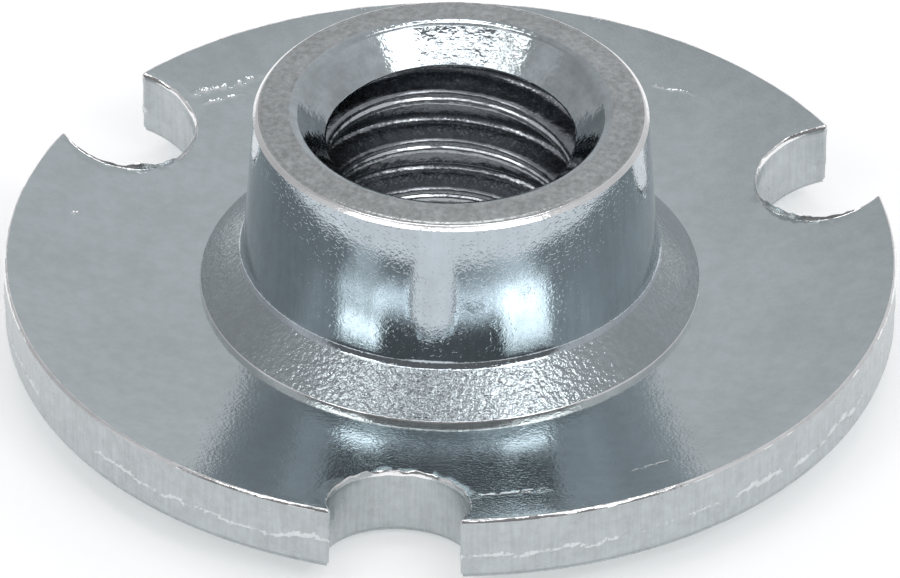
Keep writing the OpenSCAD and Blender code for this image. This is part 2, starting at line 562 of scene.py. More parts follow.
@dataclass(frozen=True)
class NotchedFlange:
    """One repeat of the flange outside the shoulder, with a round notch in its middle.

    Its walls are rows of points that follow the outline, from the upper face to the lower.
    """

    section: Section
    columns: int
    notches: int = 3
    notch_radius: float = 1.47 * MM
    notch_depth: float = 2.25 * MM
    tip_radius: float = 0.09 * MM
    edge: float = 0.08 * MM
    edge_drop: float = 0.09 * MM
    edge_lip: float = 0.015 * MM
    lip_drop: float = 0.002 * MM
    rim_step: float = 0.09 * MM
    tip_steps: int = 6
    face_step: float = 0.28 * MM
    # Share of a step that the face's inner points keep clear of the notch
    clearance: float = 0.45
    plan_tolerance: float = 1e-7
    wall_rows: int = 20
    edge_rows: int = 5
    # The burr's height in each row, from the upper face, its share along the rim, and how
    # fast it grows towards the notch's inner end
    burr_rows: tuple[float, ...] = (0.0, 0.12, 0.9, 1.0, 0.8, 0.45)
    rim_burr: float = 0.12
    burr_growth: float = 1.3
    # Value of "cut_height" on the faces, where nothing is cut
    uncut: float = -1.0

    @property
    def half_angle(self) -> float:
        """Half of the angle that one repeat takes."""
        return math.pi / self.notches

    @property
    def notch_centre(self) -> float:
        """Distance of the notch's centre from the axis."""
        return self.section.rim_radius - self.notch_depth + self.notch_radius

    @property
    def inner_steps(self) -> int:
        """Number of steps round the shoulder that one repeat takes."""
        return self.columns // self.notches

    def outline(self, inset: float) -> list[Point2]:
        """Draws the outer outline of one repeat, seen from above.

        Args:
            inset: How far the outline is drawn in from the metal's edge.

        Returns:
            Points from one side of the repeat to the other, anticlockwise.
        """
        rim = self.section.rim_radius
        away = self.notch_centre
        tip = self.tip_radius
        # Centre of each rounded tip, whose circle touches both the rim and the notch
        tip_x = (away ** 2 + (rim - tip) ** 2 - (self.notch_radius + tip) ** 2) / (2.0 * away)
        tip_y = math.sqrt((rim - tip) ** 2 - tip_x ** 2)
        rim_end = math.atan2(tip_y, tip_x)
        inner_end = math.atan2(-tip_y, away - tip_x)
        rim_steps = round((self.half_angle - rim_end) * rim / self.rim_step)
        notch_steps = 2 * round(-inner_end * self.notch_radius / self.rim_step)
        first = arc_points((0.0, 0.0), rim - inset, -self.half_angle, -rim_end, rim_steps)
        lower_tip = arc_points((tip_x, -tip_y), tip - inset, -rim_end, -inner_end, self.tip_steps)
        notch = arc_points((away, 0.0), self.notch_radius + inset, math.pi - inner_end,
                           math.pi + inner_end, notch_steps)
        upper_tip = arc_points((tip_x, tip_y), tip - inset, inner_end, rim_end, self.tip_steps)
        last = arc_points((0.0, 0.0), rim - inset, rim_end, self.half_angle, rim_steps)
        return first + lower_tip[1:] + notch[1:] + upper_tip[1:] + last[1:]

    def face_plan(self) -> tuple[list[Point2], list[tuple[int, int, int]]]:
        """Fills the face between the shoulder and the outline with triangles, seen from above.

        Returns:
            The points and the triangles.
        """
        inner_radius = self.section.shoulder_radius
        reach = self.section.rim_radius - self.edge - inner_radius
        ring_count = round(reach / self.face_step)
        radii = [inner_radius + reach * i / ring_count for i in range(1, ring_count)]
        side_up = [(r * math.cos(self.half_angle), r * math.sin(self.half_angle)) for r in radii]
        side_down = [(x, -y) for x, y in side_up]
        inner = arc_points((0.0, 0.0), inner_radius, self.half_angle, -self.half_angle, self.inner_steps)
        loop = self.outline(self.edge) + side_up[::-1] + inner + side_down
        clear = self.notch_radius + self.edge + self.clearance * self.face_step
        spare = []
        for radius in radii:
            ring = arc_points((0.0, 0.0), radius, -self.half_angle, self.half_angle, self.inner_steps)
            spare += [p for p in ring[1:-1] if math.hypot(p[0] - self.notch_centre, p[1]) > clear]
        scaled = [Vector((x * PER_MM, y * PER_MM)) for x, y in loop + spare]
        only_inside = 1
        result = delaunay_2d_cdt(scaled, [], [list(range(len(loop)))], only_inside, self.plan_tolerance)
        places = [(v.x * MM, v.y * MM) for v in result[0]]
        return places, [tuple(f) for f in result[2]]

    def burr(self, row: int, place: Point2) -> float:
        """Gives how much of the burr's height a point of the wall takes.

        Args:
            row: Row of the wall, counted from the upper face.
            place: Place of the point, seen from above.

        Returns:
            A share from 0 to 1, which is highest at the notch's inner end.
        """
        if row >= len(self.burr_rows):
            return 0.0
        inward = max(0.0, (self.section.rim_radius - math.hypot(*place)) / self.notch_depth)
        growth = (1.0 - self.rim_burr) * min(1.0, inward * self.burr_growth)
        return self.burr_rows[row] * (self.rim_burr + growth)

    def wall_levels(self) -> list[Point2]:
        """Lists the rows of the wall, from the upper face to the lower.

        Returns:
            How far each row is drawn in, and how far it lies below the upper face.
        """
        drop = self.edge_drop
        straight = self.section.sheet - 2 * drop
        levels = [(self.edge, 0.0)]
        levels += line_points((self.edge - self.edge_lip, self.lip_drop), (0.0, drop), self.edge_rows - 1)
        levels += [(0.0, drop + straight * i / self.wall_rows) for i in range(1, self.wall_rows)]
        mirrored = reversed(levels[:self.edge_rows + 1])
        return levels + [(inset, self.section.sheet - down) for inset, down in mirrored]

    def _add_faces(self, patch: Patch) -> None:
        """Adds the upper and the lower face of the repeat.

        Args:
            patch: The mesh under way.
        """
        plan, triangles = self.face_plan()
        for height in (self.section.sheet, 0.0):
            for place in plan:
                patch.point(place, height + self.section.dish(math.hypot(*place)), cut_height=self.uncut)
        for triangle in triangles:
            patch.face(triangle, Region.SHEET)
        for triangle in triangles:
            patch.face(tuple(len(plan) + i for i in reversed(triangle)), Region.SHEET)

    def _add_walls(self, patch: Patch) -> None:
        """Adds the walls of rim and notch, whose upper edge takes a painted highlight and a painted line
        of shade.

        Args:
            patch: The mesh under way.
        """
        section = self.section
        starts = []
        for row, (inset, drop) in enumerate(self.wall_levels()):
            starts.append(len(patch.points))
            for place in self.outline(inset):
                away = math.hypot(*place)
                patch.point(
                    place,
                    section.sheet + section.dish(away) - drop,
                    cut_height=1.0 - drop / section.sheet,
                    burr=self.burr(row, place),
                    # The top row carries a painted dark line, a painted shade along the upper edge
                    grime=1.0 if row == 0 else 0.0,
                    at_rim=1.0 if away > section.rim_radius - 2.0 * self.tip_radius else 0.0,
                )
        count = len(patch.points) - starts[-1]
        for upper, lower in zip(starts, starts[1:]):
            # The edge rows take the painted highlight
            region = Region.RUBBED if lower <= starts[self.edge_rows] else Region.SHEARED
            for i in range(count - 1):
                patch.face((lower + i, lower + i + 1, upper + i + 1, upper + i), region)

    def mesh(self) -> bpy.types.Mesh:
        """Builds one repeat: both faces, and the walls of rim and notch.

        Returns:
            The mesh, with its regions and marks.
        """
        patch = Patch()
        self._add_faces(patch)
        self._add_walls(patch)
        return patch.mesh("flange_repeat")


@dataclass(frozen=True)
class Thread:
    """Right-handed inch thread of the bore, with a cleft along each crest.

    The ends of the cleft and of the specks of painted highlight are heights above the middle of a crest.
    """

    section: Section
    pitch: float = 1.27 * MM
    root_radius: float = 3.175 * MM
    crest_height: float = 0.225 * MM
    crest_share: float = 0.25
    flank: float = math.radians(22.0)
    cleft_lower: float = -0.045 * MM
    cleft_middle: float = 0.035 * MM
    cleft_upper: float = 0.1 * MM
    cleft_depth: float = 0.075 * MM
    speck_lower: float = 0.2 * MM
    speck_upper: float = 0.42 * MM
    rows_per_turn: int = 24
    crowding: float = 0.6
    run_out: float = 0.3 * MM

    @property
    def row_spacing(self) -> float:
        """Mean distance between two rows of points along the axis."""
        return self.pitch / self.rows_per_turn

    @property
    def crest_width(self) -> float:
        """Width of the crest."""
        return self.pitch * self.crest_share

    @property
    def root_width(self) -> float:
        """Width of the root between two flanks."""
        depth = self.root_radius - self.section.crest_radius
        return self.pitch - self.crest_width - 2.0 * depth * math.tan(self.flank)

    @property
    def sway(self) -> float:
        """Distance by which crowding moves a row at most."""
        return self.crowding * self.pitch / FULL_TURN

    @property
    def first_row(self) -> float:
        """Height where the lowest row starts.

        Returns:
            A height a whole turn or more below the thread's lower end.
        """
        lowest = self.section.thread_bottom - self.pitch - self.sway
        middle = self.crest_height - self.pitch / 2
        return middle - math.ceil((middle - lowest) / self.row_spacing) * self.row_spacing

    @property
    def row_count(self) -> int:
        """Number of rows that reach past the thread's upper end."""
        return math.ceil((self.section.thread_top + self.sway - self.first_row) / self.row_spacing) + 1


class FormTree:
    """Geometry Nodes tree of the nut: flange repeats, a spun section and a helical bore."""

    MERGE = 0.002 * MM
    SHARP_EDGE = math.radians(35.0)
    SOCKETS = {bpy.types.Object: "NodeSocketObject", int: "NodeSocketInt", float: "NodeSocketFloat"}
    # A point is cut where its height share is above this, and a region's number is met
    # within this much
    CUT_FROM = 0.0001
    REGION_MARGIN = 0.1
    # Unevenness of the whole surface, and chatter in the thread
    SWELL = Pattern(0.8 * PER_MM, detail=1.0)
    CHATTER = Pattern(6.0 * PER_MM)
    # Border between the smooth and the torn band of a sheared wall: how it wanders, how
    # near to it the ridge stands, and where the ridge is kept
    BORDER = Pattern(0.9 * PER_MM, detail=5.0, roughness=0.7)
    BORDER_SWING = 0.6
    RIDGE_REACH = (0.012, 0.045)
    RIDGE_GAPS = Pattern(0.6 * PER_MM)
    RIDGE_GAP_LEVELS = (0.4, 0.52)
    RIDGE_LEAST = 0.2
    # Torn band below the border: its grit, and the height share where its relief ends
    GRIT = Pattern(4.0 * PER_MM, detail=3.0, roughness=0.6)
    GRIT_REACH = (0.0, 0.05)
    RELIEF_END = (0.75, 0.95)
    # Ragged height of the burr
    RAGGED = Pattern(1.1 * PER_MM, detail=5.0, roughness=0.75)
    RAGGED_LEVELS = (0.36, 0.66)
    RAGGED_LEAST = 0.15
    # Painted highlight on the thread: its share on the crests and specks, the shares of half a
    # crest's width where it fades, and the painted shadow in the gap beside the cleft
    CREST_PAINTED_HIGHLIGHT = 0.8
    SPECK_PAINTED_HIGHLIGHT = 0.34
    PAINTED_HIGHLIGHT_FADE_START = 0.8
    PAINTED_HIGHLIGHT_FADE_END = 1.1
    PAINTED_GAP_SHADOW_START = 0.03 * MM
    PAINTED_GAP_SHADOW_END = 0.07 * MM

    def __init__(self, settings: dict[str, Setting], finishes: dict[Region, bpy.types.Material]) -> None:
        """Builds the tree.

        Args:
            settings: Value of each named input, which also gives the input's type.
            finishes: Material of each region.
        """
        self.tree = bpy.data.node_groups.new("tee_nut_form", "GeometryNodeTree")
        self.tree.is_modifier = True
        self.write = TreeWriter(self.tree)
        face = self.tree.interface
        face.new_socket(name="Flange repeat", in_out="INPUT", socket_type="NodeSocketGeometry")
        for name, value in settings.items():
            face.new_socket(name=name, in_out="INPUT", socket_type=self.SOCKETS[type(value)])
        face.new_socket(name="Tee nut", in_out="OUTPUT", socket_type="NodeSocketGeometry")
        self.inputs = self.write.add("NodeGroupInput").outputs
        parts = [self._flange(), self._spun_section(), self._threaded_bore()]
        joined = self.write.add("GeometryNodeJoinGeometry")
        for part in parts:
            self.tree.links.new(part, joined.inputs[0])
        whole = self.write.result("GeometryNodeRealizeInstances", {0: joined.outputs[0]})
        merge = {"Geometry": whole, "Distance": self.MERGE}
        whole = self.write.result("GeometryNodeMergeByDistance", merge)
        whole = self._shaded(self._worn(whole))
        for region, material in finishes.items():
            whole = self._dressed(whole, region, material)
        self.write.add("NodeGroupOutput", {0: whole})

    def identifier(self, name: str) -> str:
        """Gives the identifier of a named input."""
        return next(item.identifier for item in self.tree.interface.items_tree
                    if item.name == name and item.in_out == "INPUT")

    def _read(self, name: str, kind: str = "FLOAT") -> Socket:
        """Reads a named attribute."""
        return self.write.result("GeometryNodeInputNamedAttribute", {"Name": name}, data_type=kind)

    def _stored(self, geometry: Socket, name: str, value: Plug, kind: str = "FLOAT",
                domain: str = "POINT") -> Socket:
        """Stores a named attribute.

        Args:
            geometry: What it is stored on.
            name: Name of the attribute.
            value: Its value.
            kind: Its data type.
            domain: What it belongs to.

        Returns:
            The geometry with the attribute.
        """
        plugs = {"Geometry": geometry, "Name": name}
        node = self.write.add("GeometryNodeStoreNamedAttribute", plugs, data_type=kind, domain=domain)
        self.write.plug(node.inputs["Value"], value)
        return node.outputs[0]

    def _in_thread(self) -> Socket:
        """Gives 1 in the thread and 0 elsewhere."""
        return self.write.calc("COMPARE", self._read("region"), float(Region.THREAD), self.REGION_MARGIN)

    def _flange(self) -> Socket:
        """Repeats the notched flange round the axis.

        Returns:
            The repeats, as instances.
        """
        w = self.write
        points = w.result("GeometryNodePoints", {"Count": self.inputs["Notches"]})
        share = w.calc("DIVIDE", w.result("GeometryNodeInputIndex"), self.inputs["Notches"])
        turn = w.calc("MULTIPLY_ADD", share, FULL_TURN, self.inputs["First notch"])
        return w.result("GeometryNodeInstanceOnPoints", {
            "Points": points,
            "Instance": self.inputs["Flange repeat"],
            "Rotation": w.vector(z=turn),
        })

    def _spun_section(self) -> Socket:
        """Spins the strips of the half section round the axis.

        Returns:
            The spun surface, with each face's region.
        """
        w = self.write
        strips = w.add("GeometryNodeObjectInfo", {"Object": self.inputs["Section"]}).outputs["Geometry"]
        place = w.parts(w.result("GeometryNodeInputPosition"))
        profile = w.vector(w.minus(place["X"], self.inputs["Barrel radius"]), w.times(place["Z"], -1.0))
        strips = w.result("GeometryNodeSetPosition", {"Geometry": strips, "Position": profile})
        circle = w.result("GeometryNodeCurvePrimitiveCircle", {
            "Resolution": self.inputs["Columns"],
            "Radius": self.inputs["Barrel radius"],
        })
        spun = w.result("GeometryNodeCurveToMesh", {
            "Curve": circle,
            "Profile Curve": w.result("GeometryNodeMeshToCurve", {"Mesh": strips}),
        })
        spun = w.result("GeometryNodeFlipFaces", {"Mesh": spun})
        return self._stored(spun, "region", self._read("strip_region", "INT"), "INT", "FACE")

    def _threaded_bore(self) -> Socket:
        """Cuts the thread: a sheet of rows that climb with the helix, wrapped round the axis.

        Returns:
            The bore's surface, with its region and its painted highlight.
        """
        w = self.write
        given = self.inputs
        grid = w.add("GeometryNodeMeshGrid", {
            "Size X": 1.0,
            "Size Y": 1.0,
            "Vertices X": w.plus(given["Columns"], 1.0),
            "Vertices Y": given["Row count"],
        }).outputs["Mesh"]
        # The sheet is one unit wide and high, with its middle at the origin
        place = w.parts(w.result("GeometryNodeInputPosition"))
        angle = w.times(place["X"], FULL_TURN)
        steps = w.times(w.plus(place["Y"], 0.5), w.minus(given["Row count"], 1.0))
        # Rows crowd together at the crests
        even = w.calc("MULTIPLY_ADD", steps, given["Row spacing"], given["First row"])
        phase = w.times(w.calc("DIVIDE", self._lead(even), given["Pitch"]), FULL_TURN)
        pull = w.times(given["Pitch"], given["Crowding"], -1.0 / FULL_TURN)
        start = w.calc("MULTIPLY_ADD", w.calc("SINE", phase), pull, even)
        climb = w.calc("MULTIPLY_ADD", w.plus(place["X"], 0.5), given["Pitch"], start)
        height = w.calc("MAXIMUM", w.calc("MINIMUM", climb, given["Thread top"]), given["Thread bottom"])
        half = w.times(given["Pitch"], 0.5)
        over_crest = w.calc("WRAP", self._lead(start), half, w.times(half, -1.0))
        radius = self._run_out(self._profile(over_crest), height)
        # Painted highlight on crests and specks, with a painted shadow beside the cleft
        shine = self._shine(over_crest)
        east, north = w.calc("COSINE", angle), w.calc("SINE", angle)
        bore = w.result("GeometryNodeSetPosition", {
            "Geometry": self._stored(grid, "shine", shine),
            "Position": w.vector(w.times(radius, east), w.times(radius, north), height),
        })
        bore = w.result("GeometryNodeFlipFaces", {"Mesh": bore})
        return self._stored(bore, "region", int(Region.THREAD), "INT", "FACE")

    def _lead(self, start: Socket) -> Socket:
        """Gives how far above a crest's middle a row starts, at the sheet's edge."""
        middle = self.write.calc("MULTIPLY_ADD", self.inputs["Pitch"], 0.5, start)
        return self.write.minus(middle, self.inputs["Crest height"])

    def _profile(self, over_crest: Socket) -> Socket:
        """Draws the thread's profile, with its cleft.

        Args:
            over_crest: Height above the middle of the nearest crest.

        Returns:
            The profile's radius.
        """
        w = self.write
        given = self.inputs
        crest_edge = w.times(given["Crest width"], 0.5)
        root_edge = w.times(w.minus(given["Pitch"], given["Root width"]), 0.5)
        radius = w.fit(w.calc("ABSOLUTE", over_crest), (crest_edge, root_edge),
                       (given["Crest radius"], given["Root radius"]))
        middle, depth = given["Cleft middle"], given["Cleft depth"]
        slope = w.fit(over_crest, (given["Cleft lower"], middle), (0.0, depth))
        back = w.fit(over_crest, (middle, given["Cleft upper"]), (depth, 0.0))
        return w.plus(radius, w.calc("MINIMUM", slope, back))

    def _shine(self, over_crest: Socket) -> Socket:
        """Paints highlights on the thread's crests and specks, with a painted shadow beside the cleft.

        Args:
            over_crest: Height above the middle of the nearest crest.

        Returns:
            The share of the painted highlight, from 0 to 1.
        """
        w = self.write
        given = self.inputs
        crest_edge = w.times(given["Crest width"], 0.5)
        fade = (w.times(crest_edge, self.PAINTED_HIGHLIGHT_FADE_START), w.times(crest_edge, self.PAINTED_HIGHLIGHT_FADE_END))
        shine = w.fit(w.calc("ABSOLUTE", over_crest), fade, (self.CREST_PAINTED_HIGHLIGHT, 0.0))
        from_cleft = w.calc("ABSOLUTE", w.minus(over_crest, given["Cleft upper"]))
        painted_gap_shadow = w.fit(from_cleft, (self.PAINTED_GAP_SHADOW_START, self.PAINTED_GAP_SHADOW_END), (1.0, 0.0))
        inner = w.calc("GREATER_THAN", over_crest, given["Speck lower"])
        specks = w.times(inner, w.calc("LESS_THAN", over_crest, given["Speck upper"]))
        return w.calc("MAXIMUM", w.times(shine, w.minus(1.0, painted_gap_shadow)), w.times(specks, self.SPECK_PAINTED_HIGHLIGHT))

    def _run_out(self, radius: Socket, height: Socket) -> Socket:
        """Lets the thread run out at both ends.

        Args:
            radius: The profile's radius.
            height: Height above the underside.

        Returns:
            The radius, kept to the cones at the thread's ends.
        """
        w = self.write
        given = self.inputs
        end_radius = given["Thread end radius"]
        for end, sign in ((given["Thread top"], -1.0), (given["Thread bottom"], 1.0)):
            inside = w.times(w.minus(height, end), sign)
            cover = w.fit(inside, (0.0, given["Run out"]), (end_radius, given["Root radius"]))
            cone = w.minus(end_radius, w.times(inside, given["Sink slope"]))
            radius = w.calc("MAXIMUM", w.calc("MINIMUM", radius, cover), cone)
        return radius

    def _worn(self, geometry: Socket) -> Socket:
        """Makes the surface uneven, leaves a ridge on the sheared walls and raises their burr.

        Args:
            geometry: The nut, as sharp as it is drawn.

        Returns:
            The nut as forming left it, with its ridge stored for the finish's painted highlight.
        """
        w = self.write
        given = self.inputs
        place = w.result("GeometryNodeInputPosition")
        uneven = w.times(w.noise(place, self.SWELL), given["Unevenness"])
        cut = self._read("cut_height")
        on_wall = w.calc("GREATER_THAN", cut, self.CUT_FROM)
        swing = w.minus(w.noise(place, self.BORDER), NOISE_MIDDLE)
        over_cut = w.minus(w.plus(given["Ridge height"], w.times(swing, self.BORDER_SWING)), cut)
        near = w.fit(w.calc("ABSOLUTE", over_cut), self.RIDGE_REACH, (1.0, 0.0))
        kept = w.fit(w.noise(place, self.RIDGE_GAPS), self.RIDGE_GAP_LEVELS, (self.RIDGE_LEAST, 1.0))
        ridge = w.times(near, kept, w.times(on_wall, self._read("at_rim")))
        grit = w.times(w.noise(place, self.GRIT), w.fit(over_cut, self.GRIT_REACH))
        low = w.times(w.fit(cut, self.RELIEF_END, (1.0, 0.0)), on_wall)
        bite = w.times(low, w.minus(1.0, ridge), w.times(w.plus(grit, 1.0), given["Wall relief"]))
        chatter = w.minus(w.noise(place, self.CHATTER), NOISE_MIDDLE)
        chatter = w.times(chatter, self._in_thread(), given["Chatter"])
        inward = w.result("ShaderNodeVectorMath", {
            0: w.result("GeometryNodeInputNormal"),
            "Scale": w.times(w.plus(uneven, bite, chatter), -1.0),
        }, operation="SCALE")
        ragged = w.fit(w.noise(place, self.RAGGED), self.RAGGED_LEVELS, (self.RAGGED_LEAST, 1.0))
        lift = w.times(self._read("burr"), ragged, given["Burr height"])
        moved = w.result("ShaderNodeVectorMath", {0: inward, 1: w.vector(z=lift)}, operation="ADD")
        # The ridge's mask also gives the sheared finish its painted highlight
        marked = self._stored(geometry, "ridge", ridge)
        return w.result("GeometryNodeSetPosition", {"Geometry": marked, "Offset": moved})

    def _shaded(self, geometry: Socket) -> Socket:
        """Shades the surface smooth, with its real edges kept sharp.

        Args:
            geometry: The nut.

        Returns:
            The nut with its shading, and with no sharp edge in the thread.
        """
        w = self.write
        smooth = w.result("GeometryNodeSetShadeSmooth", {"Geometry": geometry, "Shade Smooth": True},
                          domain="FACE")
        angle = w.add("GeometryNodeInputMeshEdgeAngle").outputs["Unsigned Angle"]
        limit = w.calc("MULTIPLY_ADD", self._in_thread(), math.pi, self.SHARP_EDGE)
        sharp = w.result("FunctionNodeCompare", {0: angle, 1: limit}, data_type="FLOAT",
                         operation="GREATER_THAN")
        return w.result("GeometryNodeSetShadeSmooth", {
            "Geometry": smooth,
            "Selection": sharp,
            "Shade Smooth": False,
        }, domain="EDGE")

    def _dressed(self, geometry: Socket, region: Region, material: bpy.types.Material) -> Socket:
        """Gives one region its material.

        Args:
            geometry: The nut.
            region: The region.
            material: The region's material.

        Returns:
            The nut with that region dressed.
        """
        w = self.write
        chosen = w.add("FunctionNodeCompare", data_type="INT", operation="EQUAL")
        whole_numbers = [socket for socket in chosen.inputs if socket.type == "INT"]
        w.plug(whole_numbers[0], self._read("region", "INT"))
        w.plug(whole_numbers[1], int(region))
        return w.result("GeometryNodeSetMaterial", {
            "Geometry": geometry,
            "Selection": chosen.outputs[0],
            "Material": material,
        })


@dataclass(frozen=True)
class Scratch:
    """A straight scratch in the upper face, lightened as a painted glint, seen from above; sizes in
    millimetres.
    """

    WOBBLE_SIZE = 0.5
    WOBBLE_WIDTH = 0.2
    GAP_SIZE = 0.2
    GAP_LEVELS = (0.38, 0.52)
    LEAST = 0.1
    # Shares of the length where the scratch is at its full depth
    FULL_FROM = 0.15
    FULL_TO = 0.7

    start: Point2
    end: Point2
    width: float
    depth: float
    # Height below which nothing is scratched
    lowest: float = 1.0

    def cover(self, w: FinishWriter) -> Socket:
        """Draws the scratch.

        Args:
            w: Writer of the finish's tree.

        Returns:
            Its depth's share, from 0 beside it to 1 in its middle.
        """
        start, end = Vector(self.start), Vector(self.end)
        along, length = (end - start).normalized(), (end - start).length
        wobble = w.times(w.minus(w.cloudy(self.WOBBLE_SIZE, 3.0), NOISE_MIDDLE), self.WOBBLE_WIDTH)
        part = w.parts(w.place)
        east = w.minus(part["X"], start.x)
        north = w.minus(part["Y"], start.y)
        run = w.calc("MULTIPLY_ADD", east, along.x, w.times(north, along.y))
        off = w.minus(w.times(north, along.x), w.times(east, along.y))
        off = w.calc("ABSOLUTE", w.plus(off, wobble))
        taper = w.times(w.fit(run, (0.0, self.FULL_FROM * length)),
                        w.fit(run, (self.FULL_TO * length, length), (1.0, 0.0)))
        gaps = w.fit(w.cloudy(self.GAP_SIZE), self.GAP_LEVELS, (self.LEAST, 1.0))
        core = w.fit(off, (0.0, self.width), (1.0, 0.0), smooth=True)
        upper = w.calc("GREATER_THAN", part["Z"], self.lowest)
        return w.times(core, upper, w.times(taper, gaps))


@dataclass(frozen=True)
class ZincFinish:
    """Bright zinc plating as one way of forming left it; sizes in millimetres.

    Each pattern's size is that of its features, each shade a share of the tone, and each
    height or depth the relief's. A mark is a stored attribute that takes a tone of its own;
    the marks in use paint highlights and shade.
    """

    # Noise levels between which each pattern goes from none to full
    CLOUD_LEVELS = (0.3, 0.7)
    MOTTLE_LEVELS = (0.38, 0.62)
    MARK_LEVELS = (0.35, 0.65)
    PIT_LEVELS = (0.58, 0.7)
    LINE_LEVELS = (0.35, 0.65)
    MARK_RAGGEDNESS = 1.5
    ROUGHNESS_SWING = 0.2
    # Width of a line as a share of its length, in the upright and in the round lay
    UPRIGHT_STRETCH = 0.06
    ROUND_STRETCH = 0.03
    MOTTLE_TONE = (0.2, 0.21, 0.2)
    LINE_TONE = (0.0, 0.0, 0.0)
    # Scratches are lightened towards near white: a painted glint
    SCRATCH_PAINTED_GLINT_TONE = (0.9, 0.91, 0.91)
    SCRATCH_PAINTED_GLINT_SHARE = 0.6

    name: str
    tone: Colour
    roughness: float
    cloud_size: float = 2.0
    cloud_shade: float = 0.06
    peel_size: float = 0.5
    peel_height: float = 0.003
    grain_size: float = 0.12
    grain_height: float = 0.002
    pit_size: float = 0.1
    pit_depth: float = 0.0
    lay: Lay = Lay.NONE
    line_size: float = 0.1
    line_shade: float = 0.0
    line_height: float = 0.0
    mark: str = ""
    mark_tone: Colour = (0.5, 0.5, 0.5)
    mark_grain: float = 0.06
    mottle_size: float = 0.3
    mottle_shade: float = 0.0
    scratches: tuple[Scratch, ...] = ()

    def _shade(self, change: float) -> Colour:
        """Gives the tone made lighter or darker by a share."""
        return tuple(min(1.0, level * (1.0 + change)) for level in self.tone)

    def _plain_colour(self, w: FinishWriter, cloud: Socket) -> Socket:
        """Draws the tone with its clouds, its mottle and its mark; the marks paint highlights and shade.

        Args:
            w: Writer of the finish's tree.
            cloud: Pattern of the clouds.

        Returns:
            The colour.
        """
        colour = w.mixed(cloud, self._shade(-self.cloud_shade), self._shade(self.cloud_shade))
        if self.mottle_shade:
            mottle = w.cloudy(self.mottle_size, detail=5.0, roughness=0.7)
            mottle = w.fit(mottle, self.MOTTLE_LEVELS, (self.mottle_shade, 0.0))
            colour = w.mixed(mottle, colour, self.MOTTLE_TONE)
        if self.mark:
            share = w.add("ShaderNodeAttribute", attribute_name=self.mark).outputs["Fac"]
            ragged = w.minus(w.cloudy(self.mark_grain), NOISE_MIDDLE)
            share = w.calc("MULTIPLY_ADD", ragged, self.MARK_RAGGEDNESS, share)
            colour = w.mixed(w.fit(share, self.MARK_LEVELS), colour, self.mark_tone)
        return colour

    def _plain_relief(self, w: FinishWriter) -> Socket:
        """Lays orange peel, grain and pits on the surface.

        Args:
            w: Writer of the finish's tree.

        Returns:
            The relief's normal.
        """
        relief = w.bump(w.cloudy(self.peel_size, detail=1.0), self.peel_height * MM)
        relief = w.bump(w.cloudy(self.grain_size), self.grain_height * MM, relief)
        if self.pit_depth:
            pits = w.fit(w.cloudy(self.pit_size, detail=1.0), self.PIT_LEVELS, (0.0, -1.0), smooth=True)
            relief = w.bump(pits, self.pit_depth * MM, relief)
        return relief

    def _lines(self, w: FinishWriter) -> Socket:
        """Draws fine lines along the lay.

        Args:
            w: Writer of the finish's tree.

        Returns:
            The lines' pattern, from 0 to 1.
        """
        part = w.parts(w.place)
        if self.lay is Lay.UPRIGHT:
            place = w.vector(part["X"], part["Y"], w.times(part["Z"], self.UPRIGHT_STRETCH))
        else:
            squares = w.calc("MULTIPLY_ADD", part["X"], part["X"], w.times(part["Y"], part["Y"]))
            place = w.vector(w.calc("SQRT", squares), w.times(part["X"], self.ROUND_STRETCH),
                             w.times(part["Y"], self.ROUND_STRETCH))
        return w.noise(place, Pattern(1.0 / self.line_size, detail=3.0, roughness=0.6))

    def material(self) -> bpy.types.Material:
        """Builds the finish's material.

        Returns:
            A procedural metal, in object coordinates.
        """
        made = bpy.data.materials.new(self.name)
        w = FinishWriter.for_new(made)
        cloud = w.fit(w.cloudy(self.cloud_size, detail=4.0, roughness=0.6), self.CLOUD_LEVELS)
        swing = self.roughness * self.ROUGHNESS_SWING
        rough = w.fit(cloud, (0.0, 1.0), (self.roughness - swing, self.roughness + swing))
        colour = self._plain_colour(w, cloud)
        relief = self._plain_relief(w)
        if self.lay is not Lay.NONE:
            lines = self._lines(w)
            relief = w.bump(lines, self.line_height * MM, relief)
            darker = w.fit(lines, self.LINE_LEVELS, (self.line_shade, 0.0))
            colour = w.mixed(darker, colour, self.LINE_TONE)
        for scratch in self.scratches:
            cover = scratch.cover(w)
            relief = w.bump(w.times(cover, -1.0), scratch.depth * MM, relief)
            # Painted glint along each scratch
            colour = w.mixed(w.times(cover, self.SCRATCH_PAINTED_GLINT_SHARE), colour, self.SCRATCH_PAINTED_GLINT_TONE)
        shader = w.result("ShaderNodeBsdfPrincipled", {
            "Base Color": colour,
            "Metallic": 1.0,
            "Roughness": rough,
            "Normal": relief,
        })
        w.add("ShaderNodeOutputMaterial", {"Surface": shader})
        return made


SCRATCHES = (
    Scratch((-6.38, 5.50), (-4.75, 6.66), 0.14, 0.03),
    Scratch((-6.10, 5.30), (-5.20, 5.95), 0.07, 0.015),
    Scratch((4.67, -6.80), (5.65, -6.16), 0.07, 0.012),
    Scratch((3.42, 7.35), (4.54, 7.04), 0.07, 0.01),
    Scratch((1.40, -8.13), (3.17, -7.56), 0.14, 0.03),
    Scratch((-8.32, 0.95), (-8.12, 1.03), 0.09, 0.02),
)

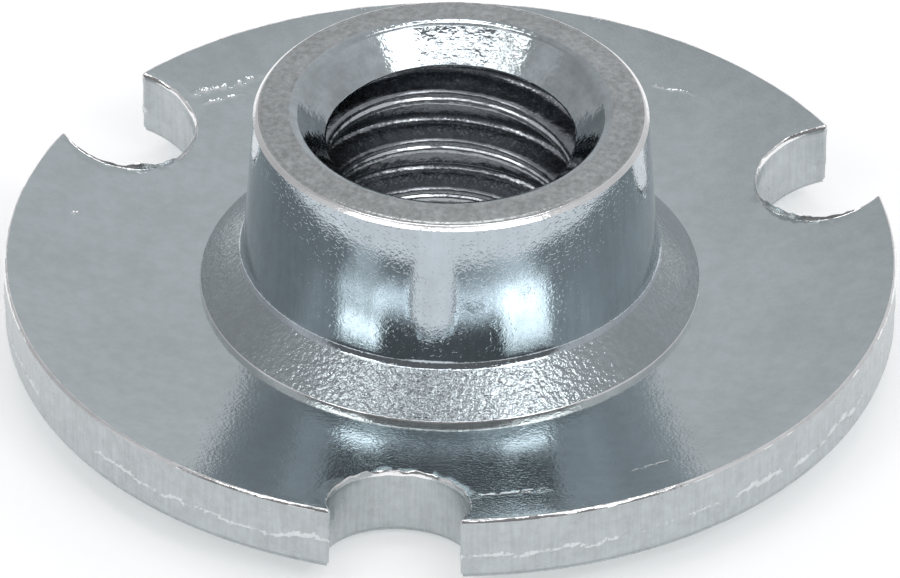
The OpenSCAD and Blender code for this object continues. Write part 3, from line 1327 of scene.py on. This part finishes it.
FINISHES = {
    Region.SHEET: ZincFinish(
        "zinc_rolled_sheet", (0.572, 0.641, 0.659), 0.05,
        cloud_shade=0.05, grain_size=0.07, grain_height=0.0045,
        mottle_size=0.35, mottle_shade=0.12, scratches=SCRATCHES),
    Region.SHEARED: ZincFinish(
        "zinc_sheared_edge", (0.54, 0.58, 0.592), 0.3,
        cloud_size=0.8, grain_height=0.006,
        lay=Lay.UPRIGHT, line_size=0.08, line_shade=0.1, line_height=0.004,
        # Lighter mark: a painted highlight on the ridge
        mottle_size=0.25, mottle_shade=0.16, mark="ridge", mark_tone=(0.73, 0.765, 0.775)),
    Region.SHOULDER: ZincFinish(
        "zinc_pressed_shoulder", (0.442, 0.497, 0.518), 0.14,
        grain_size=0.1, grain_height=0.026, mottle_size=0.2, mottle_shade=0.15),
    Region.WALL: ZincFinish(
        "zinc_drawn_wall", (0.529, 0.591, 0.634), 0.03,
        grain_size=0.06, grain_height=0.0018, pit_size=0.08, pit_depth=0.0014,
        lay=Lay.UPRIGHT, line_size=0.16, line_shade=0.08, line_height=0.001,
        mottle_size=0.4, mottle_shade=0.1),
    Region.LIP: ZincFinish(
        "zinc_trimmed_lip", (0.565, 0.589, 0.591), 0.28,
        cloud_size=0.5, cloud_shade=0.12, grain_size=0.1, grain_height=0.01,
        lay=Lay.ROUND, line_size=0.2, line_shade=0.08, line_height=0.003,
        mottle_size=0.14, mottle_shade=0.45),
    Region.COUNTERSINK: ZincFinish(
        "zinc_countersink", (0.551, 0.609, 0.634), 0.09,
        cloud_size=0.6, grain_height=0.006,
        lay=Lay.ROUND, line_size=0.16, line_shade=0.1, line_height=0.003, mottle_shade=0.2),
    Region.THREAD: ZincFinish(
        # Dark tone: painted shade in the bore
        "zinc_tapped_thread", (0.3, 0.318, 0.34), 0.2,
        cloud_size=0.2, cloud_shade=0.2, grain_size=0.1, grain_height=0.006,
        # Lighter mark: a painted highlight on the crests and specks
        mark="shine", mark_tone=(0.66, 0.69, 0.71)),
    Region.RUBBED: ZincFinish(
        # Near-white tone: a painted highlight on the edges
        "zinc_rubbed_edge", (0.93, 0.935, 0.93), 0.17,
        cloud_size=0.4, cloud_shade=0.05, grain_height=0.006,
        # Dark mark: a painted shade along the upper edge
        mark="grime", mark_tone=(0.16, 0.15, 0.13)),
}


@dataclass
class TeeNut:
    """The nut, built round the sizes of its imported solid.

    The ridge's height is a share of the sheet; the other heights are in metres.
    """

    columns: int = 240
    first_notch: float = -math.pi / 2
    unevenness: float = 0.006 * MM
    ridge_height: float = 0.38
    wall_relief: float = 0.022 * MM
    burr_height: float = 0.2 * MM
    chatter: float = 0.03 * MM

    def __post_init__(self) -> None:
        """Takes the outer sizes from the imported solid."""
        _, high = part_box(NODE)
        self.section = Section(rim_radius=high.y, height=high.z)
        self.flange = NotchedFlange(self.section, self.columns)
        self.thread = Thread(self.section)

    def section_object(self) -> bpy.types.Object:
        """Makes the helper object that holds the half section's strips.

        Returns:
            An object of edges only, in the XZ plane.
        """
        points: list[Point3] = []
        edges: list[tuple[int, int]] = []
        regions: list[int] = []
        for region, strip in self.section.strips():
            start = len(points)
            points += [(radius, 0.0, height) for radius, height in strip]
            edges += [(i, i + 1) for i in range(start, len(points) - 1)]
            regions += [int(region)] * len(strip)
        mesh = bpy.data.meshes.new("half_section")
        mesh.from_pydata(points, edges, [])
        store(mesh, "strip_region", regions, "INT")
        return place_in_scene("half_section", mesh)

    def settings(self, helper: bpy.types.Object) -> dict[str, Setting]:
        """Lists what goes into the form tree.

        Each input has the name of the field or property that it is taken from.

        Args:
            helper: The object that holds the half section.

        Returns:
            Value of each named input.
        """
        sources = (
            (self, ("Columns", "First notch", "Unevenness", "Ridge height", "Wall relief", "Burr height",
                    "Chatter")),
            (self.flange, ("Notches",)),
            (self.section, ("Barrel radius", "Crest radius", "Sink slope", "Thread end radius",
                            "Thread top", "Thread bottom")),
            (self.thread, ("Row count", "Row spacing", "First row", "Crowding", "Pitch", "Crest height",
                           "Crest width", "Root radius", "Root width", "Cleft lower", "Cleft middle",
                           "Cleft upper", "Cleft depth", "Speck lower", "Speck upper", "Run out")),
        )
        values = {name: getattr(source, name.lower().replace(" ", "_")) for source, names in sources
                  for name in names}
        return {"Section": helper} | values

    def build(self) -> bpy.types.Object:
        """Builds the nut as one plain mesh.

        Returns:
            The finished object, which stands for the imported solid.
        """
        helper = self.section_object()
        settings = self.settings(helper)
        form = FormTree(settings, {region: finish.material() for region, finish in FINISHES.items()})
        nut = place_in_scene("tee_nut_body", self.flange.mesh())
        modifier = nut.modifiers.new("form", "NODES")
        modifier.node_group = form.tree
        for name, value in settings.items():
            modifier[form.identifier(name)] = value
        graph = bpy.context.evaluated_depsgraph_get()
        made = bpy.data.meshes.new_from_object(nut.evaluated_get(graph), depsgraph=graph)
        nut.modifiers.remove(modifier)
        nut.data = made
        made.name = "tee_nut_body"
        bpy.data.objects.remove(helper)
        # The first slot is the empty one of the mesh that the tree began with
        made.materials.pop(index=0)
        self.check(made)
        return nut

    @staticmethod
    def check(mesh: bpy.types.Mesh) -> None:
        """Turns all faces outwards and logs whether the mesh is closed.

        Args:
            mesh: The nut's mesh.
        """
        work = bmesh.new()
        work.from_mesh(mesh)
        bmesh.ops.recalc_face_normals(work, faces=work.faces)
        open_edges = sum(1 for edge in work.edges if len(edge.link_faces) != 2)
        triangles = sum(len(face.verts) - 2 for face in work.faces)
        volume = work.calc_volume(signed=True) * PER_MM ** 3
        work.to_mesh(mesh)
        work.free()
        log.info("tee nut: %d triangles, %d open edges, %.1f mm3", triangles, open_edges, volume)


@dataclass(frozen=True)
class Softbox:
    """A rectangular lamp that looks at the object; angles in degrees, from the camera's azimuth."""

    name: str
    azimuth: float
    elevation: float
    width: float
    height: float
    brightness: float
    distance: float = 0.35

    def _side(self, angle: float) -> float:
        """Gives the length that takes an angle, as seen from the object."""
        return 2.0 * self.distance * math.tan(math.radians(angle) / 2.0)

    def build(self, aim: Vector, front: float) -> None:
        """Adds the lamp.

        Args:
            aim: Point that it looks at.
            front: Azimuth of the camera, in degrees.
        """
        lamp = bpy.data.lights.new(self.name, "AREA")
        lamp.shape = "RECTANGLE"
        lamp.size = self._side(self.width)
        lamp.size_y = self._side(self.height)
        lamp.energy = self.brightness * math.pi * lamp.size * lamp.size_y
        placed = place_in_scene(self.name, lamp)
        towards = direction(front + self.azimuth, self.elevation)
        placed.location = aim + self.distance * towards
        placed.rotation_euler = towards.to_track_quat("Z", "Y").to_euler()


@dataclass(frozen=True)
class Studio:
    """Plain studio: a pale floor, a grey room with a bright band, four lamps and a long lens.

    The room's levels of grey are given at azimuths from the camera's, in degrees. They
    change with the elevation, over the spans that are given in degrees too.
    """

    # How much bluer than grey the room is
    TINT = 1.03

    azimuth: float = 6.91
    elevation: float = 35.678
    distance: float = 0.47606
    roll: float = 0.384
    lens: float = 892.85
    sensor: float = 36.0
    clip_start: float = 0.01
    aim: Point3 = (0.0, 0.0, 1.258 * MM)
    floor_size: float = 1.5
    floor_colour: Colour = (0.9, 0.9, 0.9)
    floor_lift: float = 0.36
    low_room: tuple[Point2, ...] = (
        (-180.0, 0.62), (-150.0, 0.5), (-110.0, 0.4), (-94.0, 0.44), (-86.0, 0.6), (-68.0, 0.5),
        (-62.0, 0.18), (0.0, 0.18), (54.0, 0.18), (60.0, 0.6), (84.0, 0.6), (100.0, 0.5), (150.0, 0.62),
        (180.0, 0.62))
    band_room: tuple[Point2, ...] = (
        (-180.0, 0.6), (-120.0, 0.38), (-64.0, 0.4), (-46.0, 0.5), (-42.0, 2.8), (-20.0, 3.0),
        (20.0, 3.3), (50.0, 2.6), (56.0, 0.5), (120.0, 0.5), (180.0, 0.6))
    high_room: tuple[Point2, ...] = (
        (-180.0, 0.6), (-120.0, 0.38), (-66.0, 0.4), (-62.0, 1.1), (-50.0, 1.1), (-42.0, 0.4),
        (0.0, 0.5), (30.0, 1.1), (48.0, 1.4), (56.0, 0.5), (120.0, 0.5), (180.0, 0.6))
    zenith: float = 0.45
    low_to_band: Point2 = (48.8, 50.0)
    band_to_high: Point2 = (53.0, 54.5)
    high_to_zenith: Point2 = (66.0, 76.0)
    lamps: tuple[Softbox, ...] = (
        Softbox("softbox_left_low", -52.0, 40.7, 18.0, 6.6, 3.8),
        Softbox("softbox_left_high", -52.5, 49.0, 20.0, 4.0, 2.2),
        Softbox("softbox_right", 44.5, 45.2, 20.0, 15.4, 2.8),
        Softbox("softbox_back", 180.0, 81.0, 40.0, 12.0, 3.0),
    )

    def camera(self) -> None:
        """Adds the camera and makes it the scene's."""
        lens = bpy.data.cameras.new("camera")
        lens.sensor_fit = "HORIZONTAL"
        lens.sensor_width = self.sensor
        lens.lens = self.lens
        lens.clip_start = self.clip_start
        placed = place_in_scene("camera", lens)
        towards = direction(self.azimuth, self.elevation)
        placed.location = Vector(self.aim) + self.distance * towards
        roll = Matrix.Rotation(math.radians(self.roll), 3, "Z")
        placed.rotation_euler = (towards.to_track_quat("Z", "Y").to_matrix() @ roll).to_euler()
        bpy.context.scene.camera = placed

    def room(self) -> None:
        """Lights the scene with the room, which is dim low down at the front, under a bright band."""
        world = bpy.data.worlds.new("room")
        w = TreeWriter.for_new(world)
        turned = w.result("ShaderNodeVectorRotate", {
            "Vector": w.add("ShaderNodeTexCoord").outputs["Generated"],
            "Axis": (0.0, 0.0, 1.0),
            "Angle": -math.radians(self.azimuth),
        }, rotation_type="AXIS_ANGLE")
        part = w.parts(turned)
        turn = w.calc("ARCTAN2", part["X"], w.times(part["Y"], -1.0))
        share = w.calc("MULTIPLY_ADD", turn, 1.0 / FULL_TURN, 0.5)
        light = self._ramp(w, share, self.low_room)
        for span, above in (
            (self.low_to_band, self._ramp(w, share, self.band_room)),
            (self.band_to_high, self._ramp(w, share, self.high_room)),
            (self.high_to_zenith, self._grey(self.zenith)),
        ):
            ends = tuple(math.sin(math.radians(elevation)) for elevation in span)
            light = w.mixed(w.fit(part["Z"], ends), light, above)
        w.add("ShaderNodeOutputWorld", {"Surface": w.result("ShaderNodeBackground", {"Color": light})})
        bpy.context.scene.world = world

    def _grey(self, level: float) -> Colour:
        """Gives one of the room's greys."""
        return (level, level, level * self.TINT)

    def _ramp(self, w: TreeWriter, share: Socket, levels: tuple[Point2, ...]) -> Socket:
        """Spreads levels of grey round the horizon.

        Args:
            w: Writer of the world's tree.
            share: Share of the turn, from the back by the left.
            levels: Azimuths from the camera's, in degrees, and their grey levels.

        Returns:
            The ramp's colour.
        """
        ramp = w.add("ShaderNodeValToRGB", {0: share})
        stops = ramp.color_ramp.elements
        for i, (azimuth, level) in enumerate(levels):
            at = azimuth / 360.0 + 0.5
            stop = stops[0] if i == 0 else stops[-1] if i == len(levels) - 1 else stops.new(at)
            stop.position = at
            stop.color = (*self._grey(level), 1.0)
        return ramp.outputs["Color"]

    def floor(self) -> None:
        """Adds the pale floor, a plain sheet under the nut."""
        size = self.floor_size
        mesh = bpy.data.meshes.new("floor")
        corners = [(-size, -size, 0), (size, -size, 0), (size, size, 0), (-size, size, 0)]
        mesh.from_pydata(corners, [], [(0, 1, 2, 3)])
        made = bpy.data.materials.new("floor_paper")
        w = TreeWriter.for_new(made)
        paper = w.result("ShaderNodeBsdfDiffuse", {"Color": self.floor_colour})
        ray = w.add("ShaderNodeLightPath").outputs
        reflected = w.calc("MAXIMUM", ray["Is Glossy Ray"], ray["Is Transmission Ray"])
        seen = w.calc("MAXIMUM", ray["Is Camera Ray"], reflected)
        glow = w.result("ShaderNodeEmission", {"Strength": w.times(seen, self.floor_lift)})
        both = w.result("ShaderNodeAddShader", {0: paper, 1: glow})
        w.add("ShaderNodeOutputMaterial", {"Surface": both})
        mesh.materials.append(made)
        floor = place_in_scene("floor", mesh)

    def build(self) -> None:
        """Builds the whole studio."""
        self.camera()
        self.room()
        self.floor()
        for lamp in self.lamps:
            lamp.build(Vector(self.aim), self.azimuth)
        log.info("studio: camera, room, floor and %d lamps", len(self.lamps))


def main() -> None:
    """Builds the nut and its studio."""
    logging.basicConfig(level=logging.INFO)
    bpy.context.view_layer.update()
    bpy.context.scene.view_settings.view_transform = "Standard"
    nut = TeeNut().build()
    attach(nut, BODY)
    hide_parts(NODE)
    Studio().build()


if __name__ == "__main__":
    main()
